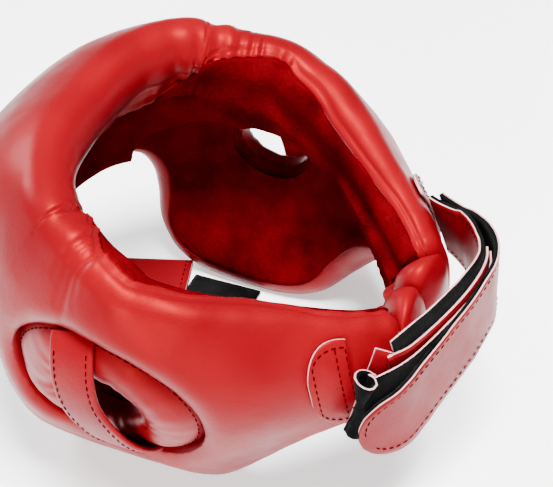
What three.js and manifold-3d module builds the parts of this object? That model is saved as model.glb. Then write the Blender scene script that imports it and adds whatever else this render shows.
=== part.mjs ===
// Boxing headgear with an open crown and an open face, standing on its two lower lobes.
// Millimetres. +X is the wearer's left, -Y the face, +Z up, z = 0 the surface it stands on.
import * as THREE from 'three';
import Module from 'manifold-3d';
import { mergeVertices } from 'three/addons/utils/BufferGeometryUtils.js';

const wasm = await Module();
wasm.setup();

// Padded shell
const HALF_WIDTH = 88; // middle of the head to the middle of the side wall
const FRONT_REACH = 100; // ear axis forward to the brow
const REAR_REACH = 98; // ear axis back to the rear ends
const CROWN_RISE = 74; // ear axis up to the middle of the highest rim roll
const LOBE_DROP = 63; // ear axis down to the middle of the lowest hem roll
const WALL = 24; // padded wall over the ears, with its cover
const INNER_ROLL = 8; // how far the padding bulges inwards in a roll under the crown rim
const FLATTENED = 2; // how far the lobes are pressed flat where they stand
const CLOSURE_SHIFT = 5; // how far the closed rear sits towards the left
const LINING = 1.6; // suede lining
const GAP = 0.3; // clearance between neighbouring pieces

// Ear openings and what is in them
const EAR_LENGTH = 92; // long axis of the opening in the shell
const EAR_HEIGHT_SPAN = 72; // short axis of the opening in the shell
const EAR_TILT = 12; // degrees, the rear end lies lower
const EAR_BACK = -8; // centre of the opening, from the ear axis
const EAR_UP = 2;
const EAR_PAD_ENDS = 28; // width of the padded ring at the ends of its long axis
const EAR_PAD_SIDES = 23; // width of the padded ring above and below its hole
const EAR_RECESS = 3; // how far the ring sits back from the outer surface
const EAR_STRAP_WIDTH = 20;
const EAR_STRAP_BOW = 4; // how far the crossing strap stands off the ring

// Straps
const STRAP_WIDTH = 36;
const LEATHER = 1.3; // one layer of synthetic leather
const LOOP_PILE = 1.1; // one layer of hook or loop tape
const PATCH_HEIGHT = 46;
const PATCH_LENGTH = 19;
const CHIN_WIDTH = 38;

const STRAP_STACK = LEATHER + LOOP_PILE;
const EAR_AXIS = LOBE_DROP + WALL / 2 - FLATTENED;

// The padding's inner side, as shares of its outer half and of a wall line
const INNER_SHARE = 0.8; // inner half of the padding below the fold
const FOLD_SPREAD = 0.06; // length over which the fold falls away
const ROLL_EASED = 0.4; // what is left of the inner roll at the rim
const ROLL_EASE_FROM = 0.85; // where the inner roll starts to ease off
const HEM_SEAM = 150; // the hem seam's angle from the outer side

// How the strap layers lie, in millimetres where nothing else is said
const STACK_GAP = 0.5; // air between two layers
const STACK_EASE = 0.04; // share of the route by which the two far straps are apart before the near one ends
const SPLAY = 1.3; // how far each outer layer spreads where the near strap comes in under it
const SPLAY_FROM = 0.62; // share of the route where that starts
const NEAR_LIFT = 1.8; // start of the near strap over its patch, in layers of leather
const NEAR_OUT = STRAP_STACK / 2 + STACK_GAP + LEATHER / 2; // from the middle of the inner far strap
const LOOP_OUT = NEAR_OUT + LEATHER / 2 + STACK_GAP + LOOP_PILE / 2;
const OUTER_OUT = LOOP_OUT + LOOP_PILE / 2 + STACK_GAP + STRAP_STACK / 2;
const OUTER_START = STRAP_STACK + 4 * STACK_GAP;
const LEAN_SHARE = 0.3; // share of a strap over which it turns upright
const CURL_UPRIGHT = 0.85; // how upright the near strap's free loop end is
const ROUND_END = [0.35, 0.6, 0.8, 0.93, 0.985]; // sections in the outer strap's round end

// Where the patches lie: shares of the wall's half turn and of a wall line
const PATCH_TURN = 0.893;
const PATCH_RISE = 0.52;
const STRAP_RISE = 0.47;
const PATCH_BLUNT = 0.06; // share of the patch that its round edge is cut short
const PATCH_LIFT = 1.2; // clearance over the padding's facets, in millimetres
const STRAP_CLEAR = 2.5; // clearance between a patch and its strap, in millimetres

// The gusset's two pillows
const GUSSET_FOLD = 0.48; // share of the gusset where they meet
const GUSSET_ENDS = 0.68; // size of a pillow's ends, as a share of the shell's end section
const GUSSET_MIDDLE = 1.04; // size of its middle

// The chin strap, as shares of FRONT_REACH and HALF_WIDTH
const CHIN_BACK = -0.26; // middle of the lower part
const CHIN_START = -0.40; // start of the upper part
const CHIN_FRONT = -0.68; // free end of the upper part
const CHIN_LOW_END = 0.42; // free end of the lower part
const CHIN_HIGH_END = 0.56; // free end of the upper part
const LOBE_ACROSS = 0.68; // where the lobes' hems stand

// How finely the soft forms are faceted
const SHELL_STATIONS = 46;
const FACE_STEPS = 8;
const ROLL_STEPS = 5;
const HEM_STEPS = 2;
const RING_STEPS = 28;
const RING_SIDES = 10;
const STRAP_STEPS = 22;
const PATH_STEPS = 14;
const PATCH_COLUMNS = 6;
const PATCH_ROWS = 5;
const GUSSET_STEPS = 6;
const CHIN_STEPS = 4;

// Small steps that directions are taken from, and the search for a place on the wall
const TURN_STEP = 0.01;
const RISE_STEP = 0.02;
const ROUTE_STEP = 0.02;
const SEARCH_ROUNDS = 14;
const SEARCH_TURN = 0.6; // where the search starts
const SEARCH_RISE = 0.5;
const MOST_TURN = 0.1; // longest step of the search
const MOST_RISE = 0.2;

// The blocks that cut the ear openings and the standing surface
const CUT_FROM = 0.4; // shares of HALF_WIDTH
const CUT_TO = 1.6;
const REACH = 4 * (HALF_WIDTH + FRONT_REACH);

const LEATHER_ROUGH = 0.35;
const STRAP_ROUGH = 0.4;
const CHIN_ROUGH = 0.6;
const SUEDE_ROUGH = 0.95;

// One row for each line from the hem up to the crown rim, from the brow to the rear end.
// hem, mid and rim are [across, along, up]: across is a share of HALF_WIDTH, along of FRONT_REACH or
// REAR_REACH, up of CROWN_RISE or LOBE_DROP. thick is a share of WALL. fold is where the inner roll
// under the rim starts, as a share of the line, and seam the rim seam's angle from the outer side.
const WALL_LINES = [
  { hem: [0.00, -1.00, 0.24], mid: [0.00, -0.91, 0.72], rim: [0.00, -0.57, 1.00],
    thick: 1.08, fold: -0.20, seam: 165 },
  { hem: [0.34, -0.95, 0.23], mid: [0.34, -0.86, 0.72], rim: [0.32, -0.55, 1.00],
    thick: 1.08, fold: -0.20, seam: 165 },
  { hem: [0.57, -0.83, 0.20], mid: [0.59, -0.74, 0.69], rim: [0.53, -0.48, 0.98],
    thick: 1.05, fold: -0.10, seam: 160 },
  { hem: [0.73, -0.70, 0.11], mid: [0.77, -0.58, 0.57], rim: [0.68, -0.38, 0.95],
    thick: 1.00, fold: 0.25, seam: 150 },
  { hem: [0.81, -0.63, -0.13], mid: [0.88, -0.48, 0.42], rim: [0.76, -0.28, 0.90],
    thick: 0.97, fold: 0.55, seam: 135 },
  { hem: [0.82, -0.61, -0.45], mid: [0.95, -0.40, 0.24], rim: [0.82, -0.19, 0.84],
    thick: 0.97, fold: 0.70, seam: 120 },
  { hem: [0.77, -0.59, -0.77], mid: [0.99, -0.31, 0.09], rim: [0.86, -0.11, 0.79],
    thick: 0.97, fold: 0.74, seam: 110 },
  { hem: [0.71, -0.47, -0.94], mid: [1.00, -0.20, 0.03], rim: [0.89, -0.04, 0.76],
    thick: 1.00, fold: 0.76, seam: 105 },
  { hem: [0.68, -0.23, -1.00], mid: [1.00, -0.07, -0.02], rim: [0.91, 0.01, 0.73],
    thick: 1.00, fold: 0.78, seam: 105 },
  { hem: [0.67, 0.02, -1.00], mid: [1.00, 0.06, -0.05], rim: [0.92, 0.07, 0.69],
    thick: 1.00, fold: 0.79, seam: 105 },
  { hem: [0.69, 0.20, -0.92], mid: [1.00, 0.20, -0.04], rim: [0.90, 0.15, 0.64],
    thick: 1.00, fold: 0.78, seam: 105 },
  { hem: [0.73, 0.35, -0.69], mid: [0.95, 0.36, 0.00], rim: [0.85, 0.28, 0.57],
    thick: 1.00, fold: 0.68, seam: 105 },
  { hem: [0.71, 0.53, -0.41], mid: [0.85, 0.53, 0.08], rim: [0.75, 0.43, 0.48],
    thick: 0.96, fold: 0.52, seam: 105 },
  { hem: [0.61, 0.73, -0.24], mid: [0.66, 0.70, 0.12], rim: [0.59, 0.63, 0.38],
    thick: 0.82, fold: 0.22, seam: 105 },
  { hem: [0.45, 0.89, -0.18], mid: [0.47, 0.86, 0.08], rim: [0.42, 0.82, 0.28],
    thick: 0.74, fold: -0.10, seam: 100 },
  { hem: [0.25, 1.00, -0.16], mid: [0.27, 1.00, 0.04], rim: [0.25, 0.97, 0.18],
    thick: 0.70, fold: -0.20, seam: 95 },
];

// Middle line of the closed strap stack behind the head, from the right patch to the left one. Across and
// along are shares of HALF_WIDTH and REAR_REACH. The other columns are shares of STRAP_WIDTH from the ear
// axis up to the middle of the inner, the near and the outer strap.
const CLOSURE_ROUTE = [
  { across: -0.77, along: 0.68, inner: 0.11, near: 0.28, outer: 0.14 },
  { across: -0.70, along: 0.77, inner: 0.14, near: 0.28, outer: 0.17 },
  { across: -0.60, along: 0.85, inner: 0.17, near: 0.28, outer: 0.19 },
  { across: -0.50, along: 0.93, inner: 0.24, near: 0.28, outer: 0.24 },
  { across: -0.38, along: 1.02, inner: 0.32, near: 0.29, outer: 0.32 },
  { across: -0.20, along: 1.11, inner: 0.39, near: 0.28, outer: 0.38 },
  { across: 0.00, along: 1.10, inner: 0.41, near: 0.25, outer: 0.29 },
  { across: 0.20, along: 1.04, inner: 0.36, near: 0.17, outer: 0.08 },
  { across: 0.36, along: 0.97, inner: 0.30, near: 0.10, outer: -0.10 },
  { across: 0.49, along: 0.90, inner: 0.22, near: 0.09, outer: -0.26 },
  { across: 0.59, along: 0.82, inner: 0.17, near: 0.10, outer: -0.43 },
  { across: 0.67, along: 0.74, inner: 0.17, near: 0.31, outer: -0.58 },
];
const FAR_JOIN = 0.30; // shares of the route: the two far straps join it
const STACK_FROM = 0.43; // the near strap's end lies between the two far ones
const INNER_END = 0.75; // the inner far strap ends
const NEAR_JOIN = 0.82; // the near strap joins it
const LOOP_END = 0.93; // the near strap's loop layer ends
const LOOP_STEP = 0.03; // length of that layer's free end
const OUTER_END = 0.94; // the outer far strap ends

// Middle of the ear strap: along and up are shares of the opening's length and height
const EAR_STRAP_ROUTE = [
  { along: -0.06, up: 0.38, bow: 0.0 },
  { along: -0.05, up: 0.25, bow: 0.6 },
  { along: -0.03, up: 0.08, bow: 1.0 },
  { along: 0.02, up: -0.08, bow: 1.2 },
  { along: 0.07, up: -0.22, bow: 1.1 },
  { along: 0.11, up: -0.33, bow: 0.6 },
];

const leather = new THREE.Color(0xc8161a);
const suede = new THREE.Color(0x6a0a0e);
const pile = new THREE.Color(0x101012);

const UP = new THREE.Vector3(0, 0, 1);

const group = new THREE.Group();

function addPiece(name, geometry, color, roughness) {
  const material = new THREE.MeshStandardMaterial({ color, roughness, metalness: 0 });
  const mesh = new THREE.Mesh(geometry, material);
  mesh.name = name;
  group.add(mesh);
}

// Smooth curve through hand-chosen values, evenly spaced from 0 to 1
function through(values, share) {
  const place = Math.min(Math.max(share, 0), 1) * (values.length - 1);
  const i = Math.min(Math.floor(place), values.length - 2);
  const f = place - i;
  const b = values[i];
  const c = values[i + 1];
  const a = i > 0 ? values[i - 1] : 2 * b - c;
  const d = i + 2 < values.length ? values[i + 2] : 2 * c - b;
  const slopeIn = (c - a) / 2;
  const slopeOut = (d - b) / 2;
  const f2 = f * f;
  const f3 = f2 * f;
  const fromFirst = b * (2 * f3 - 3 * f2 + 1) + slopeIn * (f3 - 2 * f2 + f);
  return fromFirst + c * (3 * f2 - 2 * f3) + slopeOut * (f3 - f2);
}

function along(share) {
  return share < 0 ? share * FRONT_REACH : share * REAR_REACH;
}

function up(share) {
  return EAR_AXIS + (share < 0 ? share * LOBE_DROP : share * CROWN_RISE);
}

// The wall's lines mirrored to the right, so that -1 is the right rear end and 1 the left one
const BOTH_SIDES = [
  ...WALL_LINES.slice(1).reverse().map((row) => ({ ...row, side: -1 })),
  ...WALL_LINES.map((row) => ({ ...row, side: 1 })),
];

function wallLine(turn) {
  const share = (turn + 1) / 2;
  const point = (key) => {
    const x = through(BOTH_SIDES.map((row) => row.side * row[key][0] * HALF_WIDTH), share);
    const y = through(BOTH_SIDES.map((row) => along(row[key][1])), share);
    const z = through(BOTH_SIDES.map((row) => up(row[key][2])), share);
    const shift = CLOSURE_SHIFT * THREE.MathUtils.smoothstep(y, REAR_REACH * 0.4, REAR_REACH);
    return new THREE.Vector3(x + shift, y, z);
  };
  return {
    hem: point('hem'),
    mid: point('mid'),
    rim: point('rim'),
    half: through(BOTH_SIDES.map((row) => row.thick), share) * WALL / 2,
    fold: through(BOTH_SIDES.map((row) => row.fold), share),
    seam: THREE.MathUtils.degToRad(through(BOTH_SIDES.map((row) => row.seam), share)),
  };
}

// A point of the wall's middle surface: rise 0 is the hem roll's middle, 1 the rim roll's
function middle(line, rise) {
  const point = line.hem.clone().multiplyScalar((1 - rise) * (1 - 2 * rise));
  point.addScaledVector(line.mid, 4 * rise * (1 - rise));
  point.addScaledVector(line.rim, rise * (2 * rise - 1));
  return point;
}

function wallFrame(turn, rise) {
  const before = middle(wallLine(Math.max(turn - TURN_STEP, -1)), rise);
  const after = middle(wallLine(Math.min(turn + TURN_STEP, 1)), rise);
  const line = wallLine(turn);
  const low = middle(line, rise - RISE_STEP);
  const high = middle(line, rise + RISE_STEP);
  const round = after.sub(before).normalize();
  const climb = high.sub(low).normalize();
  const outward = round.clone().cross(climb).normalize();
  const edge = outward.clone().cross(round).normalize();
  return { point: middle(line, rise), outward, edge, line };
}

// The padding is thinner inside below the fold and bulges inwards in a roll above it
function innerHalf(line, rise) {
  const rolled = THREE.MathUtils.smoothstep(rise, line.fold - FOLD_SPREAD, line.fold + FOLD_SPREAD);
  const eased = blend(1, ROLL_EASED, THREE.MathUtils.smoothstep(rise, ROLL_EASE_FROM, 1));
  return line.half * INNER_SHARE + INNER_ROLL * rolled * eased;
}

// A point of the rounded edge at the rim or hem: angle 0 is the outer face, PI the inner face
function onEdge(frame, angle, rise, inset) {
  const sign = rise > 0.5 ? 1 : -1;
  const face = Math.cos(angle) > 0 ? frame.line.half : innerHalf(frame.line, rise);
  return frame.point.clone()
    .addScaledVector(frame.edge, sign * (frame.line.half - inset) * Math.sin(angle))
    .addScaledVector(frame.outward, (face - inset) * Math.cos(angle));
}

function blend(from, to, share) {
  return from + (to - from) * share;
}

// Half of the section that the lining covers, from the rim seam inside down to the hem seam
function linedSide(turn, inset, clear = 0) {
  const points = [];
  const rim = wallFrame(turn, 1);
  const hem = wallFrame(turn, 0);
  const hemSeam = THREE.MathUtils.degToRad(HEM_SEAM) + clear / hem.line.half;
  const rimSeam = rim.line.seam + clear / rim.line.half;
  for (let i = 0; i < ROLL_STEPS; i += 1) {
    points.push(onEdge(rim, blend(rimSeam, Math.PI, i / ROLL_STEPS), 1, inset));
  }
  for (let i = 0; i <= FACE_STEPS; i += 1) {
    const rise = 1 - i / FACE_STEPS;
    const frame = wallFrame(turn, rise);
    points.push(frame.point.clone().addScaledVector(frame.outward, inset - innerHalf(frame.line, rise)));
  }
  for (let i = 1; i <= HEM_STEPS; i += 1) {
    points.push(onEdge(hem, blend(Math.PI, hemSeam, i / HEM_STEPS), 0, inset));
  }
  return points;
}

// Half of the section that the leather covers, from the hem seam outside up to the rim seam
function coveredSide(turn) {
  const points = [];
  const rim = wallFrame(turn, 1);
  const hem = wallFrame(turn, 0);
  const hemSeam = THREE.MathUtils.degToRad(HEM_SEAM);
  for (let i = 0; i <= ROLL_STEPS; i += 1) {
    points.push(onEdge(hem, blend(hemSeam, 0, i / ROLL_STEPS), 0, 0));
  }
  for (let i = 1; i < FACE_STEPS; i += 1) {
    const frame = wallFrame(turn, i / FACE_STEPS);
    points.push(frame.point.clone().addScaledVector(frame.outward, frame.line.half));
  }
  for (let i = 0; i <= ROLL_STEPS; i += 1) {
    points.push(onEdge(rim, blend(0, rim.line.seam, i / ROLL_STEPS), 1, 0));
  }
  return points;
}

// A closed skin over rings of the same number of points, with flat ends. From the point mirrorFrom on, the
// facets are split the other way, so that two faces made from the same lines stay apart.
function skin(rings, mirrorFrom = Infinity) {
  const count = rings[0].length;
  const positions = [];
  rings.flat().forEach((p) => positions.push(p.x, p.y, p.z));
  const index = [];
  for (let r = 0; r + 1 < rings.length; r += 1) {
    for (let k = 0; k < count; k += 1) {
      const a = r * count + k;
      const b = r * count + (k + 1) % count;
      if (k < mirrorFrom) {
        index.push(a, a + count, b, b, a + count, b + count);
      } else {
        index.push(a, a + count, b + count, a, b + count, b);
      }
    }
  }
  [0, rings.length - 1].forEach((r) => {
    const centre = new THREE.Vector3();
    rings[r].forEach((p) => centre.addScaledVector(p, 1 / count));
    positions.push(centre.x, centre.y, centre.z);
    const hub = positions.length / 3 - 1;
    for (let k = 0; k < count; k += 1) {
      const a = r * count + k;
      const b = r * count + (k + 1) % count;
      if (r === 0) {
        index.push(hub, a, b);
      } else {
        index.push(hub, b, a);
      }
    }
  });
  const geometry = new THREE.BufferGeometry();
  geometry.setAttribute('position', new THREE.Float32BufferAttribute(positions, 3));
  geometry.setIndex(index);
  return outwards(geometry);
}

// A ring of sections that closes on itself
function closedRing(rings) {
  const count = rings[0].length;
  const positions = [];
  rings.flat().forEach((p) => positions.push(p.x, p.y, p.z));
  const index = [];
  for (let r = 0; r < rings.length; r += 1) {
    const next = (r + 1) % rings.length;
    for (let k = 0; k < count; k += 1) {
      const a = r * count + k;
      const b = r * count + (k + 1) % count;
      const c = next * count + k;
      const d = next * count + (k + 1) % count;
      index.push(a, c, b, b, c, d);
    }
  }
  const geometry = new THREE.BufferGeometry();
  geometry.setAttribute('position', new THREE.Float32BufferAttribute(positions, 3));
  geometry.setIndex(index);
  return outwards(geometry);
}

// Turns the faces round where the rings were listed the other way
function outwards(geometry) {
  const p = geometry.attributes.position;
  const index = geometry.index.array;
  const a = new THREE.Vector3();
  const b = new THREE.Vector3();
  const c = new THREE.Vector3();
  let volume = 0;
  for (let i = 0; i < index.length; i += 3) {
    a.fromBufferAttribute(p, index[i]);
    b.fromBufferAttribute(p, index[i + 1]);
    c.fromBufferAttribute(p, index[i + 2]);
    volume += a.dot(b.cross(c));
  }
  if (volume < 0) {
    for (let i = 0; i < index.length; i += 3) {
      [index[i], index[i + 1]] = [index[i + 1], index[i]];
    }
  }
  return geometry;
}

function solidOf(geometry) {
  const bare = geometry.clone();
  bare.deleteAttribute('normal');
  bare.deleteAttribute('uv');
  const merged = mergeVertices(bare, 1e-4);
  return new wasm.Manifold(new wasm.Mesh({
    numProp: 3,
    vertProperties: new Float32Array(merged.attributes.position.array),
    triVerts: new Uint32Array(merged.index.array),
  }));
}

function geometryOf(solid) {
  const mesh = solid.getMesh();
  const geometry = new THREE.BufferGeometry();
  const positions = [];
  for (let i = 0; i < mesh.vertProperties.length; i += mesh.numProp) {
    positions.push(mesh.vertProperties[i], mesh.vertProperties[i + 1], mesh.vertProperties[i + 2]);
  }
  geometry.setAttribute('position', new THREE.Float32BufferAttribute(positions, 3));
  geometry.setIndex(Array.from(mesh.triVerts));
  return geometry;
}

// Everything under the surface that the headgear stands on
function belowFloor(level) {
  const block = new THREE.BoxGeometry(REACH, REACH, REACH);
  block.translate(0, 0, level - REACH / 2);
  return solidOf(block);
}

// A point on an ear oval, seen from the side
function onOval(halfLength, halfHeight, angle) {
  const tilt = -THREE.MathUtils.degToRad(EAR_TILT);
  const u = halfLength * Math.cos(angle);
  const v = halfHeight * Math.sin(angle);
  return {
    y: EAR_BACK + u * Math.cos(tilt) - v * Math.sin(tilt),
    z: EAR_AXIS + EAR_UP + u * Math.sin(tilt) + v * Math.cos(tilt),
  };
}

// The oval hole through one side wall
function earCutter(side, halfLength, halfHeight) {
  const outline = [];
  for (let i = 0; i < RING_STEPS; i += 1) {
    outline.push(onOval(halfLength, halfHeight, 2 * Math.PI * i / RING_STEPS));
  }
  const inside = outline.map((p) => new THREE.Vector3(side * HALF_WIDTH * CUT_FROM, p.y, p.z));
  const outside = outline.map((p) => new THREE.Vector3(side * HALF_WIDTH * CUT_TO, p.y, p.z));
  return solidOf(skin([inside, outside]));
}

// Finds the wall's middle surface beside a point seen from the side
function wallAcross(side, y, z) {
  let turn = side * SEARCH_TURN;
  let rise = SEARCH_RISE;
  for (let i = 0; i < SEARCH_ROUNDS; i += 1) {
    const at = middle(wallLine(turn), rise);
    const byTurn = middle(wallLine(turn + TURN_STEP), rise).sub(at).divideScalar(TURN_STEP);
    const byRise = middle(wallLine(turn), rise + RISE_STEP).sub(at).divideScalar(RISE_STEP);
    const det = byTurn.y * byRise.z - byRise.y * byTurn.z;
    const dy = y - at.y;
    const dz = z - at.z;
    turn += THREE.MathUtils.clamp((dy * byRise.z - dz * byRise.y) / det, -MOST_TURN, MOST_TURN);
    rise += THREE.MathUtils.clamp((dz * byTurn.y - dy * byTurn.z) / det, -MOST_RISE, MOST_RISE);
  }
  return Math.abs(middle(wallLine(turn), rise).x);
}

// Padded shell and lining

function shellTurns() {
  const turns = [];
  for (let i = 0; i <= SHELL_STATIONS; i += 1) {
    turns.push(-1 + 2 * i / SHELL_STATIONS);
  }
  return turns;
}

function buildShell() {
  const rings = shellTurns().map((turn) => [...linedSide(turn, LINING + GAP), ...coveredSide(turn)]);
  let shell = solidOf(skin(rings));
  [-1, 1].forEach((side) => {
    shell = shell.subtract(earCutter(side, EAR_LENGTH / 2, EAR_HEIGHT_SPAN / 2));
  });
  shell = shell.subtract(belowFloor(0));
  addPiece('padded_shell', geometryOf(shell), leather, LEATHER_ROUGH);
}

function buildLining() {
  const rings = shellTurns().map((turn) => {
    const backed = linedSide(turn, LINING, 2 * GAP);
    const bare = linedSide(turn, 0, 2 * GAP);
    return [...backed, ...bare.reverse()];
  });
  let lining = solidOf(skin(rings, rings[0].length / 2));
  [-1, 1].forEach((side) => {
    const hole = earCutter(side, EAR_LENGTH / 2 - EAR_PAD_ENDS, EAR_HEIGHT_SPAN / 2 - EAR_PAD_SIDES);
    lining = lining.subtract(hole);
  });
  lining = lining.subtract(belowFloor(0));
  addPiece('lining', geometryOf(lining), suede, SUEDE_ROUGH);
}

function buildEarRing(side, name) {
  const rings = [];
  const outer = WALL / 2 - EAR_RECESS;
  const inner = WALL / 2 * INNER_SHARE - LINING - 3 * GAP;
  for (let i = 0; i < RING_STEPS; i += 1) {
    const angle = 2 * Math.PI * i / RING_STEPS;
    const ring = [];
    for (let k = 0; k < RING_SIDES; k += 1) {
      const turn = 2 * Math.PI * k / RING_SIDES;
      const across = (1 - Math.cos(turn)) / 2;
      const place = onOval(
        EAR_LENGTH / 2 - 2 * GAP - EAR_PAD_ENDS * across,
        EAR_HEIGHT_SPAN / 2 - 2 * GAP - EAR_PAD_SIDES * across,
        angle,
      );
      const lift = (outer - inner) / 2 + (outer + inner) / 2 * Math.sin(turn);
      ring.push(new THREE.Vector3(side * (wallAcross(side, place.y, place.z) + lift), place.y, place.z));
    }
    rings.push(ring);
  }
  addPiece(name, closedRing(rings), leather, LEATHER_ROUGH);
}

// A flat band with four-cornered sections, from centres with a face direction and a height
function bandOf(stations, thickness) {
  return skin(stations.map(({ at, face, tall, half }) => {
    const corner = (w, t) => at.clone()
      .addScaledVector(tall, w * half)
      .addScaledVector(face, t * thickness / 2);
    return [corner(-1, -1), corner(1, -1), corner(1, 1), corner(-1, 1)];
  }));
}

// Stations of a band along a smooth path. It starts along the direction lean and then stands upright, and
// has a round end where roundEnd is set.
function bandStations(path, lean, roundEnd) {
  const curve = new THREE.CatmullRomCurve3(path, false, 'centripetal');
  const rounded = roundEnd ? STRAP_WIDTH / 2 / curve.getLength() : 0;
  const shares = [];
  for (let i = 0; i <= STRAP_STEPS; i += 1) {
    shares.push((1 - rounded) * i / STRAP_STEPS);
  }
  if (roundEnd) {
    ROUND_END.forEach((part) => shares.push(1 - rounded + rounded * part));
  }
  return shares.map((share) => {
    const past = roundEnd ? Math.max(share - (1 - rounded), 0) / rounded : 0;
    const ahead = curve.getTangentAt(share);
    const upright = THREE.MathUtils.smoothstep(share, 0, LEAN_SHARE);
    const tall = lean.clone().lerp(UP, upright);
    tall.addScaledVector(ahead, -tall.dot(ahead)).normalize();
    return {
      at: curve.getPointAt(share),
      face: tall.clone().cross(ahead).normalize(),
      tall,
      half: STRAP_WIDTH / 2 * Math.sqrt(1 - past ** 2),
    };
  });
}

// A point of the closed strap stack, moved outwards by a number of millimetres
function closure(share, outwards, column) {
  const at = (s) => new THREE.Vector3(
    through(CLOSURE_ROUTE.map((row) => row.across * HALF_WIDTH + CLOSURE_SHIFT), s),
    through(CLOSURE_ROUTE.map((row) => row.along * REAR_REACH + WALL / 2), s),
    0,
  );
  const before = at(Math.max(share - ROUTE_STEP, 0));
  const ahead = at(Math.min(share + ROUTE_STEP, 1)).sub(before).normalize();
  const away = UP.clone().cross(ahead).normalize();
  const point = at(share).addScaledVector(away, outwards);
  point.z = EAR_AXIS + STRAP_WIDTH * through(CLOSURE_ROUTE.map((row) => row[column]), share);
  return point;
}

// The outer layers spread a little where the near strap comes in under them
function splay(share) {
  return SPLAY * THREE.MathUtils.smoothstep(share, SPLAY_FROM, NEAR_JOIN);
}

function closurePath(from, to, outwards, column) {
  const path = [];
  for (let i = 0; i <= PATH_STEPS; i += 1) {
    const share = blend(from, to, i / PATH_STEPS);
    path.push(closure(share, outwards(share), column));
  }
  return path;
}

function outerSurface(turn, rise, away) {
  const frame = wallFrame(turn, rise);
  return frame.point.clone().addScaledVector(frame.outward, frame.line.half + away);
}

// Lengths on the outer surface at the patch for one unit of turn and of rise
function patchScale(side) {
  const here = outerSurface(side * PATCH_TURN, PATCH_RISE, 0);
  return {
    perTurn: outerSurface(side * (PATCH_TURN + TURN_STEP), PATCH_RISE, 0).distanceTo(here) / TURN_STEP,
    perRise: outerSurface(side * PATCH_TURN, PATCH_RISE + RISE_STEP, 0).distanceTo(here) / RISE_STEP,
  };
}

// A stitched patch with a round front edge and a straight rear edge
function buildPatch(side, name) {
  const { perTurn, perRise } = patchScale(side);
  const rings = [];
  for (let i = 0; i <= PATCH_COLUMNS; i += 1) {
    const share = i / PATCH_COLUMNS;
    const curve = Math.sqrt(1 - (1 - Math.min(share + PATCH_BLUNT, 1)) ** 2);
    const halfRise = PATCH_HEIGHT / 2 * curve / perRise;
    const turn = side * (PATCH_TURN + (share - 0.5) * PATCH_LENGTH / perTurn);
    const low = [];
    const high = [];
    for (let k = 0; k <= PATCH_ROWS; k += 1) {
      const rise = THREE.MathUtils.clamp(PATCH_RISE + halfRise * (2 * k / PATCH_ROWS - 1), 0, 1);
      low.push(outerSurface(turn, rise, PATCH_LIFT));
      high.push(outerSurface(turn, rise, PATCH_LIFT + LEATHER));
    }
    rings.push([...low, ...high.reverse()]);
  }
  addPiece(name, skin(rings, PATCH_ROWS + 1), leather, STRAP_ROUGH);
}

// A point on the patch's straight edge, moved off the surface, and the wall's direction upwards there
function patchEdge(side, away) {
  const { perTurn } = patchScale(side);
  const turn = side * (PATCH_TURN + (PATCH_LENGTH / 2 + STRAP_CLEAR) / perTurn);
  return { point: outerSurface(turn, STRAP_RISE, away), lean: wallFrame(turn, STRAP_RISE).edge };
}

function buildClosure() {
  const add = (name, start, path, thickness, roundEnd, color) => {
    const stations = bandStations([start.point, ...path], start.lean, roundEnd);
    addPiece(name, bandOf(stations, thickness), color, STRAP_ROUGH);
  };
  const inner = patchEdge(-1, PATCH_LIFT + STRAP_STACK / 2);
  const innerPath = closurePath(FAR_JOIN, INNER_END, () => 0, 'inner');
  add('far_strap_inner', inner, innerPath, STRAP_STACK, false, leather);
  const outer = patchEdge(-1, PATCH_LIFT + STRAP_STACK / 2 + OUTER_START);
  const apart = (share) => {
    const spread = THREE.MathUtils.smoothstep(share, FAR_JOIN, STACK_FROM - STACK_EASE);
    return blend(OUTER_START, OUTER_OUT, spread) + 2 * splay(share);
  };
  const outerPath = closurePath(FAR_JOIN, OUTER_END, apart, 'outer');
  add('far_strap_outer', outer, outerPath, STRAP_STACK, true, leather);
  const near = patchEdge(1, PATCH_LIFT + LEATHER * NEAR_LIFT);
  const nearPath = closurePath(NEAR_JOIN, STACK_FROM, () => NEAR_OUT, 'near');
  add('near_strap', near, nearPath, LEATHER, false, leather);
  const loopOut = (share) => LOOP_OUT + splay(share);
  const curl = {
    point: closure(LOOP_END, loopOut(LOOP_END), 'near'),
    lean: near.lean.clone().lerp(UP, CURL_UPRIGHT),
  };
  const loopPath = closurePath(LOOP_END - LOOP_STEP, STACK_FROM, loopOut, 'near');
  add('near_strap_loop', curl, loopPath, LOOP_PILE, false, pile);
}

// The soft gusset between the two rear ends, in two pillows that meet at a fold
function buildGusset() {
  const ends = [-1, 1].map((turn) => [...linedSide(turn, 0), ...coveredSide(turn)]);
  const about = (ring) => {
    const centre = new THREE.Vector3();
    ring.forEach((p) => centre.addScaledVector(p, 1 / ring.length));
    return centre;
  };
  const at = (share, scale) => {
    const ring = ends[0].map((p, k) => p.clone().lerp(ends[1][k], share));
    const centre = about(ring);
    return ring.map((p) => p.sub(centre).multiplyScalar(scale).add(centre));
  };
  const span = about(ends[0]).distanceTo(about(ends[1]));
  const clear = 2 * GAP / span;
  const pillow = (name, from, to) => {
    const rings = [];
    for (let i = 0; i <= GUSSET_STEPS; i += 1) {
      const swell = Math.sqrt(Math.sin(Math.PI * i / GUSSET_STEPS));
      rings.push(at(blend(from, to, i / GUSSET_STEPS), blend(GUSSET_ENDS, GUSSET_MIDDLE, swell)));
    }
    addPiece(name, skin(rings), leather, LEATHER_ROUGH);
  };
  pillow('gusset_right', clear, GUSSET_FOLD - clear);
  pillow('gusset_left', GUSSET_FOLD + clear, 1 - clear);
}

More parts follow.
